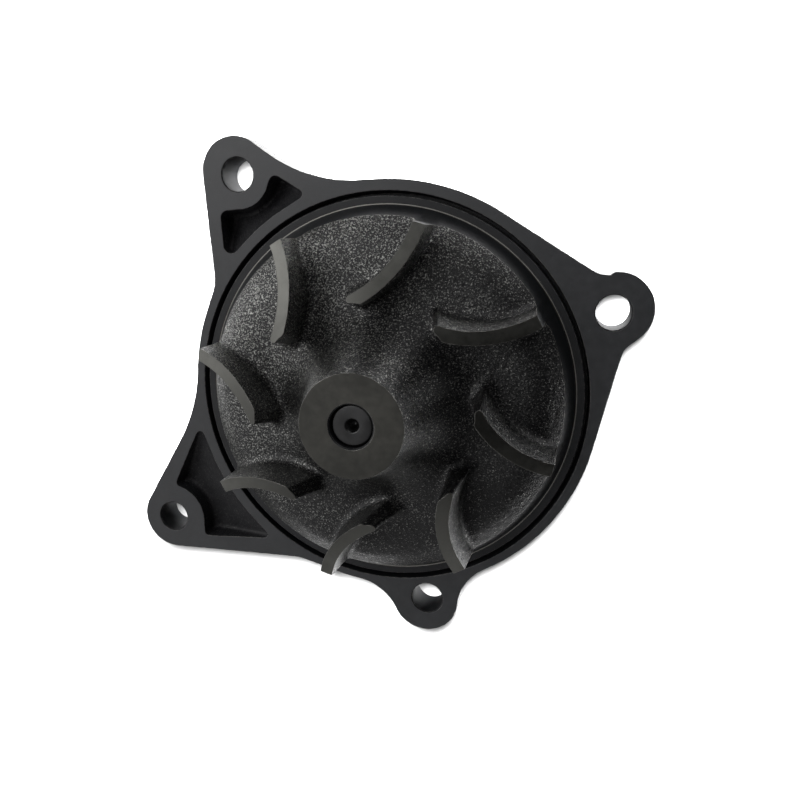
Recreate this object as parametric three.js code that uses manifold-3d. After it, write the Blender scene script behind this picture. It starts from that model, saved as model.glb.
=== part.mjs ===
// Engine coolant pump, modelled piece by piece in millimetres.
// The shaft axis is Z and the impeller points up. Heights are measured from the machined gasket
// face of the flange, and everything below that face sits outside the engine. The whole pump is
// lifted at the end, so that its origin lies on the shaft axis at the face of the drive hub.

import * as THREE from 'three';
import { mergeVertices } from 'three/addons/utils/BufferGeometryUtils.js';
import Module from 'manifold-3d';

const wasm = await Module();
wasm.setup();

// ---- Driving dimensions -------------------------------------------------------------------

const GAP = 0.3; // left between two pieces that touch on the real pump
const BIG_ROUND = 52; // facets round the housing and the impeller
const SMALL_ROUND = 24; // facets round the shaft, bearings and seal
const CUT = 1; // how far a cutting tool runs past the face it opens

const BORE_R = 64; // round register that the impeller plate turns in
const RIM_R = 67.5; // outside of the wall round the register, where the pockets start
const REGISTER_DEPTH = 6.4;
const FLANGE_T = 10.2;
const BOLT_R = 5.25; // clearance hole for an M10 bolt

// The outside of the flange is a belt of arcs. Its ears aren't quite concentric with their bolts.
const BODY = { x: 0.3, y: 0.5, r: 67.1 };
const EARS = {
  top_left: { x: -45.6, y: 72.7, r: 11.1 },
  right: { x: 71.4, y: 25.7, r: 11.15 },
  bottom_left: { x: -81.6, y: -44.8, r: 11.6 },
  bottom: { x: 9.6, y: -71.6, r: 11.3 },
};
const BOLTS = {
  top_left: { x: -44.7, y: 71.8 },
  right: { x: 70.7, y: 24.8 },
  bottom_left: { x: -82.2, y: -44.8 },
  bottom: { x: 10.3, y: -71.0 },
};
const WAISTS = { // hollow bends between the ears and the body
  above_right: { x: 69.6, y: 44.9, r: 8.9, hollow: true },
  below_right: { x: 78.1, y: 10.6, r: 5, hollow: true },
  beside_top: { x: -4.7, y: 115.3, r: 47.6, hollow: true },
  below_top: { x: -68.2, y: 40.5, r: 11.9, hollow: true },
  left: { x: -125.3, y: 17.6, r: 59.7, hollow: true },
  beside_bottom_left: { x: -38.8, y: -78.2, r: 20, hollow: true },
};
const BOTTOM_WAIST_R = 17;

// Each pocket is deep along its far side and its floor climbs towards the rim: (r, z) of the floor.
const TOP_POCKET_FLOOR = [[RIM_R, -1], [70, -3.2], [73, -5.6], [76, -7]];
const TOP_POCKET = [
  { x: -24.6, y: 64.6, r: 1.2 },
  { x: -32.2, y: 68.6, r: 2 },
  { ...BOLTS.top_left, r: 10.8, hollow: true },
  { x: -49.8, y: 58.9, r: 2 },
  { x: -49.3, y: 49.9, r: 2.5 },
  { x: 0, y: 0, r: RIM_R, hollow: true },
];
const SIDE_POCKET_FLOOR = [[RIM_R, -0.8], [72, -2.4], [78, -4.4], [82, -5]];
const SIDE_POCKET = [
  { x: -67.9, y: -14.2, r: 1.5 },
  { x: -77.6, y: -32.0, r: 1.8 },
  { ...BOLTS.bottom_left, r: 12.1, hollow: true },
  { x: -69.4, y: -50.6, r: 1 },
  { x: -47.3, y: -50.4, r: 1.2 },
  { x: 0, y: 0, r: RIM_R, hollow: true },
];

const HOUSING_END = -77;
const BACK_OUTLINE = [ // (r, z) of the bearing boss and its flare into the flange
  [32, HOUSING_END], [32, -60], [29.5, -55], [29.5, -42], [34, -31], [46, -18], [58, -FLANGE_T + CUT],
];
const RIB = {
  thickness: 6, inner: 20, bossR: 29, foot: -52, bendR: 36, bendZ: -26, earInset: 4, earDepth: 3,
};

const SEAL_BORE = { r: 18.4, bottom: -21 };
const DRIP_CHAMBER = { r: 15, bottom: -33 };
const WEEP_HOLE = { r: 3, z: -27, length: 50 };

const FRONT_BEARING = {
  name: 'front_bearing', top: -33.3, width: 12, bore: 8.5, outer: 20, ball: 3.37, balls: 8, shieldUp: true,
};
const REAR_BEARING = {
  name: 'rear_bearing', top: -57.3, width: 14, bore: 8.5, outer: 23.5, ball: 4.76, balls: 7, shieldUp: false,
};
const TRACK = { play: 0.25, halfAngle: 0.8 }; // ball groove: room beside the ball, half its arc
const SHIELD = { lip: 2, depth: 1.2 };
const CAGE = { half: 1, rim: 1, play: 0.4 };
const SPACER_R = 11.4;
const CIRCLIP = { top: -71.9, thickness: 1.5, inner: 21.4, outer: 25.0, lugR: 18.4, eyeR: 1, eyeInset: 1.9 };
const CIRCLIP_GAP = 0.16; // half angle of the opening between the two lugs
const CIRCLIP_LUG = 0.2; // angle of one lug

const HUB_R = 14.84;
const IMPELLER = { plateR: 62.7, landR: 60, bottom: -5.4, land: -0.6, hubTop: 40.2, boreChamfer: 0.4 };
const IMPELLER_TOP = [ // (r, z) from the machined wall over the plate and up the hub
  [56.7, 5.8], [51, 9.6], [44, 11.2], [35, 12], [27.5, 15], [22, 21], [17.8, 30], [HUB_R + 0.5, 39.2],
];
const IMPELLER_CORE = [ // (r, z) of the hollow under the plate, in to the seal's pocket
  [56.4, -5.4 - CUT], [53, 1], [46, 4.5], [22, 5], [15.6, 4], [15.6, 10.2],
];
const VANES = 8;
const VANE = {
  arcX: -55.93, arcY: 35.0, hollowR: 32.35, crownR: 36.2, // both side walls share this centre
  outer: 31, // heading from that centre, in degrees, just past the machined tips
  topCrown: -15.5, topHollow: -21, // where the top ends on each side
  footCrown: -24, footHollow: -27, // where the foot ends on each side
  tipR: 56.3, tipTop: 20.9, topSlope: 0.393, // the tops lie on one shallow cone
  sink: 4, // height at which the foot is buried in the casting
  draft: 1.8, // how much the hollow side leans out between the top and the foot
};

const SHAFT = {
  impellerR: 6, sealR: 8, bearingR: 8.5, hubR: 8, top: 38.8, bottom: -100,
  impellerShoulder: 9.4, sealShoulder: -33, hubShoulder: -77, step: 0.5,
  chamfer: 0.6, endChamfer: 1, centreR: 1.9, centreDepth: 3.3,
};
const DRIVE_HUB = {
  bossR: 16, flangeR: 37, top: -80, flangeTop: -91, bottom: -100, chamfer: 1, fillet: 3,
  boltCircle: 27, boltR: 4, bolts: 4,
};

const SEAL_CASE = { floorR: 10, rim: 2.6, wall: 0.9 };
const BELLOWS = [
  [9.6, -19.5], [12.9, -19.5], [12.9, -17.5], [11.4, -16.5], [12.7, -9], [11.4, -4],
  [12.2, -3], [12.2, -2], [9.6, -2], [9.6, -4.4], [11, -9], [9.6, -15.5],
];
const SPRING = { r: 14.9, wire: 0.75, low: -18.4, high: -3.2, turns: 4 };
const SPRING_WASHER = { inner: 12.5, outer: 16.6, low: -2.1, high: -1.3 };
const CARBON_RING = [
  [9.2, -1.6], [12.2, -1.6], [12.2, -1], [14, -1], [14, 1.6], [12.4, 1.9], [12.4, 2.8], [9.2, 2.8],
];
const CERAMIC_RING = { inner: 9, outer: 13.8, low: 3.1, high: 8.4 };
const CERAMIC_CUP = [[14.1, 4.3], [15.3, 4.3], [15.3, 9.9], [9.3, 9.9], [9.3, 8.7], [14.1, 8.7]];
const SLINGER = [[8.3, -30], [10.5, -30], [13.5, -28.6], [13.5, -27.6], [10.5, -28.4], [8.3, -28.4]];

// ---- Materials ----------------------------------------------------------------------------

const castIron = () => new THREE.MeshStandardMaterial({ color: 0x1d1d1e, roughness: 0.72, metalness: 0.55 });
const steel = () => new THREE.MeshStandardMaterial({ color: 0x8c8f92, roughness: 0.3, metalness: 1 });
const darkSteel = () => new THREE.MeshStandardMaterial({ color: 0x35363a, roughness: 0.45, metalness: 0.9 });
const rubber = () => new THREE.MeshStandardMaterial({ color: 0x141414, roughness: 0.85, metalness: 0 });
const brass = () => new THREE.MeshStandardMaterial({ color: 0xb08d4a, roughness: 0.35, metalness: 1 });
const carbon = () => new THREE.MeshStandardMaterial({ color: 0x202124, roughness: 0.4, metalness: 0.1 });
const ceramic = () => new THREE.MeshStandardMaterial({ color: 0xe9e4d6, roughness: 0.25, metalness: 0 });
const nylon = () => new THREE.MeshStandardMaterial({ color: 0x3a3128, roughness: 0.55, metalness: 0 });

// ---- Solids -------------------------------------------------------------------------------

// A geometry with shared corners and no flat triangles, ready to be a closed solid.
function closed(geometry) {
  const bare = geometry.index ? geometry.toNonIndexed() : geometry.clone();
  bare.deleteAttribute('normal');
  bare.deleteAttribute('uv');
  const merged = mergeVertices(bare, 1e-3);
  const index = merged.index.array;
  const kept = [];
  for (let i = 0; i < index.length; i += 3) {
    const [a, b, c] = index.slice(i, i + 3);
    if (a !== b && b !== c && c !== a) kept.push(a, b, c);
  }
  merged.setIndex(kept);
  return merged;
}

function solid(geometry) {
  const merged = closed(geometry);
  return new wasm.Manifold(new wasm.Mesh({
    numProp: 3,
    vertProperties: merged.attributes.position.array,
    triVerts: Uint32Array.from(merged.index.array),
  }));
}

function piece(name, shape, material) {
  const { vertProperties, triVerts } = shape.getMesh();
  const geometry = new THREE.BufferGeometry();
  geometry.setAttribute('position', new THREE.BufferAttribute(vertProperties, 3));
  geometry.setIndex(new THREE.BufferAttribute(triVerts, 1));
  geometry.computeVertexNormals();
  const mesh = new THREE.Mesh(geometry, material);
  mesh.name = name;
  return mesh;
}

// Turns an (r, z) outline, listed with the solid on its left, about the Z axis.
function turned(outline, facets = SMALL_ROUND) {
  const points = outline.map(([r, z]) => new THREE.Vector2(r, z));
  if (outline[0][0] !== 0) points.push(points[0].clone());
  return solid(new THREE.LatheGeometry(points, facets).rotateX(Math.PI / 2));
}

function ring(inner, outer, low, high, facets = SMALL_ROUND) {
  return turned([[inner, low], [outer, low], [outer, high], [inner, high]], facets);
}

function disc(r, low, high, facets = SMALL_ROUND) {
  return turned([[0, low], [r, low], [r, high], [0, high]], facets);
}

function raised(shape, low, high, curveSegments = 4) {
  const options = { depth: high - low, bevelEnabled: false, curveSegments };
  return solid(new THREE.ExtrudeGeometry(shape, options).translate(0, 0, low));
}

// ---- Outlines -----------------------------------------------------------------------------

// A circle of radius r that touches circles a and b from outside, on the given side of a to b.
function touching(a, b, r, side) {
  const between = Math.hypot(b.x - a.x, b.y - a.y);
  const [toA, toB] = [a.r + r, b.r + r];
  const along = (toA ** 2 - toB ** 2 + between ** 2) / (2 * between);
  const across = side * Math.sqrt(toA ** 2 - along ** 2);
  const [ux, uy] = [(b.x - a.x) / between, (b.y - a.y) / between];
  return { x: a.x + along * ux - across * uy, y: a.y + along * uy + across * ux, r, hollow: true };
}

// A closed belt drawn anticlockwise round a list of circles. It bends outwards round a plain
// circle and inwards round a hollow one, with straight tangents between them.
function belt(circles) {
  const signed = (c) => (c.hollow ? -c.r : c.r);
  const headings = circles.map((c, i) => {
    const next = circles[(i + 1) % circles.length];
    const dist = Math.hypot(next.x - c.x, next.y - c.y);
    const lean = THREE.MathUtils.clamp((signed(next) - signed(c)) / dist, -1, 1);
    return Math.atan2(next.y - c.y, next.x - c.x) - Math.asin(lean);
  });
  const shape = new THREE.Shape();
  circles.forEach((c, i) => {
    const before = headings[(i + circles.length - 1) % circles.length];
    const quarter = c.hollow ? Math.PI / 2 : -Math.PI / 2;
    shape.absarc(c.x, c.y, c.r, before + quarter, headings[i] + quarter, Boolean(c.hollow));
  });
  return shape;
}

function flangeOutline() {
  const { top_left, right, bottom_left, bottom } = EARS;
  return belt([
    right,
    WAISTS.above_right,
    BODY,
    WAISTS.beside_top,
    top_left,
    WAISTS.below_top,
    BODY,
    WAISTS.left,
    bottom_left,
    WAISTS.beside_bottom_left,
    BODY,
    touching(BODY, bottom, BOTTOM_WAIST_R, -1),
    bottom,
    touching(BODY, bottom, BOTTOM_WAIST_R, 1),
    BODY,
    WAISTS.below_right,
  ]);
}

// ---- Housing ------------------------------------------------------------------------------

function housingBack() {
  return turned([[0, HOUSING_END], ...BACK_OUTLINE, [0, -FLANGE_T + CUT]], BIG_ROUND);
}

// A web on the back of the flange, running from the bearing boss out to one ear.
function earRib(ear) {
  const { thickness, inner, bossR, foot, bendR, bendZ, earInset, earDepth } = RIB;
  const reach = Math.hypot(ear.x, ear.y) - earInset;
  const profile = new THREE.Shape();
  profile.moveTo(inner, -FLANGE_T + CUT);
  profile.lineTo(inner, foot);
  profile.lineTo(bossR, foot);
  profile.quadraticCurveTo(bendR, bendZ, reach, -FLANGE_T - earDepth);
  profile.lineTo(reach, -FLANGE_T + CUT);
  const web = new THREE.ExtrudeGeometry(profile, { depth: thickness, bevelEnabled: false, curveSegments: 5 });
  web.translate(0, 0, -thickness / 2);
  web.rotateX(Math.PI / 2);
  web.rotateZ(Math.atan2(ear.y, ear.x));
  return solid(web);
}

// The stepped bore that holds the seal, the drip chamber and both bearings.
function boreCavity() {
  const front = FRONT_BEARING.outer + GAP;
  const rear = REAR_BEARING.outer + GAP;
  const groove = CIRCLIP.outer + GAP;
  const step = REAR_BEARING.top + GAP;
  const grooveTop = CIRCLIP.top + GAP;
  const grooveEnd = CIRCLIP.top - CIRCLIP.thickness - GAP;
  return turned([
    [0, HOUSING_END - CUT], [rear, HOUSING_END - CUT], [rear, grooveEnd], [groove, grooveEnd],
    [groove, grooveTop], [rear, grooveTop], [rear, step], [front, step],
    [front, DRIP_CHAMBER.bottom], [DRIP_CHAMBER.r, DRIP_CHAMBER.bottom],
    [DRIP_CHAMBER.r, SEAL_BORE.bottom], [SEAL_BORE.r, SEAL_BORE.bottom],
    [SEAL_BORE.r, CUT], [0, CUT],
  ]);
}

function weepHole() {
  const { r, z, length } = WEEP_HOLE;
  const drill = new THREE.CylinderGeometry(r, r, length, 16);
  return solid(drill.translate(0, -length / 2, z));
}

// The shape taken out for a pocket.
function pocket(outline, floor) {
  const [inner, outer] = [RIM_R - CUT, 2 * RIM_R];
  const [shallow, deep] = [floor[0][1], floor.at(-1)[1]];
  const ramp = turned([
    [inner, shallow], ...floor, [outer, deep], [outer, CUT], [inner, CUT],
  ], BIG_ROUND);
  return raised(belt(outline), deep - CUT, CUT, 3).intersect(ramp);
}

function boltHole({ x, y }) {
  const drill = new THREE.CylinderGeometry(BOLT_R, BOLT_R, 4 * FLANGE_T, 16).rotateX(Math.PI / 2);
  return solid(drill.translate(x, y, 0));
}

function pumpHousing() {
  let body = raised(flangeOutline(), -FLANGE_T, 0).add(housingBack());
  for (const bolt of Object.values(BOLTS)) {
    body = body.add(earRib(bolt));
  }
  for (const bolt of Object.values(BOLTS)) {
    body = body.subtract(boltHole(bolt));
  }
  body = body.subtract(pocket(TOP_POCKET, TOP_POCKET_FLOOR));
  body = body.subtract(pocket(SIDE_POCKET, SIDE_POCKET_FLOOR));
  body = body.subtract(disc(BORE_R, -REGISTER_DEPTH, CUT, BIG_ROUND));
  body = body.subtract(boreCavity()).subtract(weepHole());
  return piece('pump_housing', body, castIron());
}

// ---- Impeller -----------------------------------------------------------------------------

function impellerBody() {
  const { plateR, landR, bottom, land, hubTop, boreChamfer } = IMPELLER;
  const bore = SHAFT.impellerR + GAP;
  const pocketTop = IMPELLER_CORE.at(-1)[1];
  const casting = turned([
    [0, bottom], [plateR, bottom], [plateR, land], [landR, land], ...IMPELLER_TOP, [HUB_R, hubTop],
    [0, hubTop],
  ], BIG_ROUND);
  const cored = turned([
    [0, bottom - CUT], ...IMPELLER_CORE, [bore, pocketTop], [bore, hubTop - boreChamfer],
    [bore + boreChamfer + CUT, hubTop + CUT], [0, hubTop + CUT],
  ]);
  return casting.subtract(cored);
}

function vaneOutline(crownEnd, hollowEnd, draft) {
  const { arcX, arcY, hollowR, crownR, outer } = VANE;
  const steps = 5;
  const wall = (r, from, to) => Array.from({ length: steps + 1 }, (_, i) => {
    const heading = THREE.MathUtils.degToRad(from + ((to - from) * i) / steps);
    return new THREE.Vector2(arcX + r * Math.cos(heading), arcY + r * Math.sin(heading));
  });
  return [...wall(hollowR - draft, outer, hollowEnd), ...wall(crownR, crownEnd, outer)];
}

// One vane, from a foot outline up to a slightly shorter top outline that follows the top cone.
function vane() {
  const foot = vaneOutline(VANE.footCrown, VANE.footHollow, VANE.draft);
  const top = vaneOutline(VANE.topCrown, VANE.topHollow, 0);
  const coneTop = (p) => VANE.tipTop - VANE.topSlope * (p.length() - VANE.tipR);
  const count = foot.length;
  const faces = [];
  for (const [a, b, c] of THREE.ShapeUtils.triangulateShape(foot, [])) {
    faces.push(c, b, a, count + a, count + b, count + c);
  }
  for (let i = 0; i < count; i += 1) {
    const next = (i + 1) % count;
    faces.push(i, next, count + next, i, count + next, count + i);
  }
  const corners = [
    ...foot.flatMap((p) => [p.x, p.y, VANE.sink]),
    ...top.flatMap((p) => [p.x, p.y, coneTop(p)]),
  ];
  const geometry = new THREE.BufferGeometry();
  geometry.setAttribute('position', new THREE.Float32BufferAttribute(corners, 3));
  geometry.setIndex(faces);
  return solid(geometry);
}

function impeller() {
  const oneVane = vane().intersect(disc(VANE.tipR, 0, IMPELLER.hubTop, BIG_ROUND));
  let body = impellerBody();
  for (let i = 0; i < VANES; i += 1) {
    body = body.add(oneVane.rotate([0, 0, (-360 / VANES) * i]));
  }
  return piece('impeller', body, castIron());
}

// ---- Shaft and drive hub ------------------------------------------------------------------

function pumpShaft() {
  const { impellerR, sealR, bearingR, hubR, top, bottom } = SHAFT;
  const { impellerShoulder, sealShoulder, hubShoulder, step } = SHAFT;
  const { chamfer, endChamfer, centreR, centreDepth } = SHAFT;
  const shape = turned([
    [0, bottom], [hubR - endChamfer, bottom], [hubR, bottom + endChamfer], [hubR, hubShoulder - step],
    [bearingR, hubShoulder],
    [bearingR, sealShoulder], [sealR, sealShoulder + step], [sealR, impellerShoulder - step],
    [impellerR, impellerShoulder], [impellerR, top - chamfer], [impellerR - chamfer, top], [centreR, top],
    [0, top - centreDepth],
  ]);
  return piece('pump_shaft', shape, darkSteel());
}

function driveHub() {
  const { bossR, flangeR, top, flangeTop, bottom, chamfer, fillet, boltCircle, boltR, bolts } = DRIVE_HUB;
  const bore = SHAFT.hubR + GAP;
  let shape = turned([
    [bore, bottom], [flangeR - chamfer, bottom], [flangeR, bottom + chamfer], [flangeR, flangeTop],
    [bossR + fillet, flangeTop], [bossR, flangeTop + fillet], [bossR, top - chamfer],
    [bossR - chamfer, top], [bore, top],
  ], 32);
  for (let i = 0; i < bolts; i += 1) {
    const angle = ((i + 0.5) * 2 * Math.PI) / bolts;
    const drill = new THREE.CylinderGeometry(boltR, boltR, 2 * (top - bottom), 12).rotateX(Math.PI / 2);
    drill.translate(boltCircle * Math.cos(angle), boltCircle * Math.sin(angle), bottom);
    shape = shape.subtract(solid(drill));
  }
  return piece('drive_hub', shape, steel());
}

// ---- Ball bearings ------------------------------------------------------------------------

// Half of a bearing's rolling section: the arc of a ball groove seen in the (r, z) plane.
function groove(centreR, centreZ, r, outwards) {
  const steps = 4;
  const half = TRACK.halfAngle;
  return Array.from({ length: steps + 1 }, (_, i) => {
    const angle = -half + (2 * half * i) / steps;
    return [centreR + outwards * r * Math.cos(angle), centreZ + r * Math.sin(angle)];
  });
}

function bearing({ name, top, width, bore, outer, ball, balls, shieldUp }) {
  const bottom = top - width;
  const middle = (top + bottom) / 2;
  const pitch = (outer + bore) / 2;
  const track = ball + TRACK.play;
  const shoulder = track * Math.cos(TRACK.halfAngle);
  const innerGroove = groove(pitch, middle, track, -1);
  const outerGroove = groove(pitch, middle, track, 1).reverse();
  const lip = outer - SHIELD.lip;
  const shieldDepth = SHIELD.depth;
  const notch = shieldUp
    ? [[pitch + shoulder, top - shieldDepth], [lip, top - shieldDepth], [lip, top]]
    : [[pitch + shoulder, top]];
  const lowNotch = shieldUp
    ? [[pitch + shoulder, bottom]]
    : [[lip, bottom], [lip, bottom + shieldDepth], [pitch + shoulder, bottom + shieldDepth]];

  const innerRace = turned([
    [bore + GAP, bottom], [pitch - shoulder, bottom], ...innerGroove, [pitch - shoulder, top],
    [bore + GAP, top],
  ]);
  const outerRace = turned([
    [outer, bottom], [outer, top], ...[...notch].reverse(), ...outerGroove, ...[...lowNotch].reverse(),
  ]);

  const reach = ball + CAGE.rim;
  let cage = ring(pitch - CAGE.half, pitch + CAGE.half, middle - reach, middle + reach);
  const ballMeshes = [];
  for (let i = 0; i < balls; i += 1) {
    const angle = (2 * Math.PI * i) / balls;
    const [x, y] = [pitch * Math.cos(angle), pitch * Math.sin(angle)];
    const pocketR = ball + CAGE.play;
    const pocket = new THREE.CylinderGeometry(pocketR, pocketR, width, 12).rotateZ(Math.PI / 2);
    cage = cage.subtract(solid(pocket.rotateZ(angle).translate(x, y, middle)));
    const round = new THREE.IcosahedronGeometry(ball, 1).translate(x, y, middle);
    ballMeshes.push(piece(`${name}_ball_${i + 1}`, solid(round), steel()));
  }

  const shieldZ = shieldUp ? top - shieldDepth + GAP : bottom + GAP;
  const shield = ring(pitch - shoulder + GAP, lip - GAP, shieldZ, shieldZ + shieldDepth - 2 * GAP);
  return [
    piece(`${name}_inner_race`, innerRace, steel()),
    piece(`${name}_outer_race`, outerRace, steel()),
    piece(`${name}_cage`, cage, nylon()),
    piece(`${name}_shield`, shield, darkSteel()),
    ...ballMeshes,
  ];
}

function bearingSpacer() {
  const low = REAR_BEARING.top + GAP;
  const high = FRONT_BEARING.top - FRONT_BEARING.width - GAP;
  return piece('bearing_spacer', ring(SHAFT.bearingR + GAP, SPACER_R, low, high), steel());
}

function circlip() {
  const { top, thickness, inner, outer, lugR, eyeR, eyeInset } = CIRCLIP;
  const turn = 2 * Math.PI;
  const shape = new THREE.Shape();
  shape.absarc(0, 0, outer, CIRCLIP_GAP, turn - CIRCLIP_GAP, false);
  shape.absarc(0, 0, lugR, turn - CIRCLIP_GAP, turn - CIRCLIP_GAP - CIRCLIP_LUG, true);
  shape.absarc(0, 0, inner, turn - CIRCLIP_GAP - CIRCLIP_LUG, CIRCLIP_GAP + CIRCLIP_LUG, true);
  shape.absarc(0, 0, lugR, CIRCLIP_GAP + CIRCLIP_LUG, CIRCLIP_GAP, true);
  for (const side of [-1, 1]) {
    const angle = side * (CIRCLIP_GAP + CIRCLIP_LUG / 2);
    const r = lugR + eyeInset;
    const eye = new THREE.Path();
    eye.absarc(r * Math.cos(angle), r * Math.sin(angle), eyeR, 0, turn, false);
    shape.holes.push(eye);
  }
  return piece('circlip', raised(shape, top - thickness, top, 12), darkSteel());
}

// ---- Coolant seal -------------------------------------------------------------------------

function sealCase() {
  const { floorR, rim, wall } = SEAL_CASE;
  const [high, floor] = [-REGISTER_DEPTH + GAP, SEAL_BORE.bottom + GAP];
  const r = SEAL_BORE.r - GAP;
  return piece('seal_case', turned([
    [floorR, floor], [r, floor], [r, high], [r + rim, high], [r + rim, high + wall], [r - wall, high + wall],
    [r - wall, floor + wall], [floorR, floor + wall],
  ]), brass());
}

class Helix extends THREE.Curve {
  constructor(r, low, high, turns) {
    super();
    Object.assign(this, { r, low, high, turns });
  }

  getPoint(t, target = new THREE.Vector3()) {
    const angle = 2 * Math.PI * this.turns * t;
    const z = this.low + (this.high - this.low) * t;
    return target.set(this.r * Math.cos(angle), this.r * Math.sin(angle), z);
  }
}

function sealSpring() {
  const wire = new THREE.Shape().absarc(0, 0, SPRING.wire, 0, 2 * Math.PI, false);
  const path = new Helix(SPRING.r, SPRING.low, SPRING.high, SPRING.turns);
  const options = { steps: 40, extrudePath: path, curveSegments: 3 };
  return piece('seal_spring', solid(new THREE.ExtrudeGeometry(wire, options)), steel());
}

function plainRing({ inner, outer, low, high }) {
  return ring(inner, outer, low, high);
}

function sealParts() {
  return [
    sealCase(),
    piece('seal_bellows', turned(BELLOWS), rubber()),
    sealSpring(),
    piece('seal_spring_washer', plainRing(SPRING_WASHER), steel()),
    piece('seal_carbon_ring', turned(CARBON_RING), carbon()),
    piece('seal_ceramic_ring', plainRing(CERAMIC_RING), ceramic()),
    piece('seal_ceramic_cup', turned(CERAMIC_CUP), rubber()),
    piece('water_slinger', turned(SLINGER), rubber()),
  ];
}

// ---- The pump -----------------------------------------------------------------------------

const pump = new THREE.Group();
pump.position.z = -DRIVE_HUB.bottom;
pump.add(
  pumpHousing(),
  impeller(),
  pumpShaft(),
  driveHub(),
  ...bearing(FRONT_BEARING),
  ...bearing(REAR_BEARING),
  bearingSpacer(),
  circlip(),
  ...sealParts(),
);

export default pump;
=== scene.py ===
"""Looks for the engine water pump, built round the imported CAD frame.

Both iron castings are made the way a foundry makes them: the raw shapes are fused into one rough
skin, and the machined faces are then cut into it. Lengths are in millimetres, and heights are
measured from the flange's gasket face; make_object() turns them into the frame's metres.
"""

import math

import bpy
import numpy as np
from mathutils import Matrix, Vector

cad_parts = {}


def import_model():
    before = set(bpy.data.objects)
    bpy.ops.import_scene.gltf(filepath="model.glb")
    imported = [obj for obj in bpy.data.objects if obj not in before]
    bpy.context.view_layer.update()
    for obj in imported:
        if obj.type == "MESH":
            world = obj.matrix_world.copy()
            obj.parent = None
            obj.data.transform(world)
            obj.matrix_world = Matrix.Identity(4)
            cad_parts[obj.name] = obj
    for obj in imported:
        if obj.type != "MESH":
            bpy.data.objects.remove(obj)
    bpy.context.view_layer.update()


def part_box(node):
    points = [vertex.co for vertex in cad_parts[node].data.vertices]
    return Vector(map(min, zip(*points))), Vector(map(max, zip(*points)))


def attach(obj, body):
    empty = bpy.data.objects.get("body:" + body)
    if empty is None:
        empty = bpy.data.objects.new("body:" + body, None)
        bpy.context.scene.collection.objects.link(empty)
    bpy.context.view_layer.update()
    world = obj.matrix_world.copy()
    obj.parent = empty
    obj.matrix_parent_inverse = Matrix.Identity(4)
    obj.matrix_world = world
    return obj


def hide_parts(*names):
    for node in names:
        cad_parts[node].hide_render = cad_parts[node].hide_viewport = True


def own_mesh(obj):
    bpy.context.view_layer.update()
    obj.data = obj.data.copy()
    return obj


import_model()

MM = 0.001
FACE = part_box("pump_housing")[1].z / MM  # the gasket face's height in the frame

# The housing. Outlines are circles (x, y, r) joined by tangents, and a negative r is a hollow bend.
REGISTER_R, REGISTER_DEPTH = 64.0, 6.4
RIM_R = 67.5  # outside of the wall round the register, where the pockets start
FLANGE_T = 10.2
HOUSING_END = -77.0
BOLT_R, BOLT_SEAT_R, BOLT_SEAT_Z = 5.25, 9.4, -11.9
BODY = (0.3, 0.5, 67.1)
EARS = {
    "top_left": (-45.6, 72.7, 11.1), "right": (71.4, 25.7, 11.15),
    "bottom_left": (-81.6, -44.8, 11.6), "bottom": (9.6, -71.6, 11.3),
}
WAISTS = {
    "above_right": (69.6, 44.9, -8.9), "beside_top": (-4.7, 115.3, -47.6), "below_top": (-68.2, 40.5, -11.9),
    "left": (-125.3, 17.6, -59.7), "beside_bottom_left": (-38.8, -78.2, -20), "below_right": (78.1, 10.6, -5),
}
BOTTOM_WAIST_R = 17
BOLTS = {
    "top_left": (-44.7, 71.8), "right": (70.7, 24.8), "bottom_left": (-82.2, -44.8), "bottom": (10.3, -71.0),
}
TOP_POCKET = [
    (-24.6, 64.6, 1.2), (-32.2, 68.6, 2), (*BOLTS["top_left"], -10.8), (-49.8, 58.9, 2),
    (-49.3, 49.9, 2.5), (0, 0, -RIM_R),
]
SIDE_POCKET = [
    (-67.9, -14.2, 1.5), (-77.6, -32.0, 1.8), (*BOLTS["bottom_left"], -12.1), (-69.4, -50.6, 1),
    (-47.3, -50.4, 1.2), (0, 0, -RIM_R),
]
TOP_POCKET_FLOOR = [(RIM_R, -1.0), (70, -3.2), (73, -5.6), (76, -7)]  # (distance from the shaft, height)
SIDE_POCKET_FLOOR = [(RIM_R, -0.8), (72, -2.4), (78, -4.4), (82, -5)]
BOSS_BACK = [  # (distance from the shaft, height) of the trumpet from the bearing boss to the flange
    (29.5, -55), (29.3, -48), (30, -39), (34.5, -29), (42, -20.5), (50, -14), (58.5, -10.4),
]
SEAL_BORE_R, SEAL_BORE_BOTTOM, DRIP_R = 18.4, -21, 15
FRONT_BORE_R, FRONT_BORE_TOP = 20.3, -33
REAR_BORE_R, REAR_BORE_TOP = 23.8, -57
CLIP_GROOVE_R, CLIP_GROOVE_LOW, CLIP_GROOVE_HIGH = 25.3, -73.7, -71.6
WEEP_R, WEEP_Z = 3, -27

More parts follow.
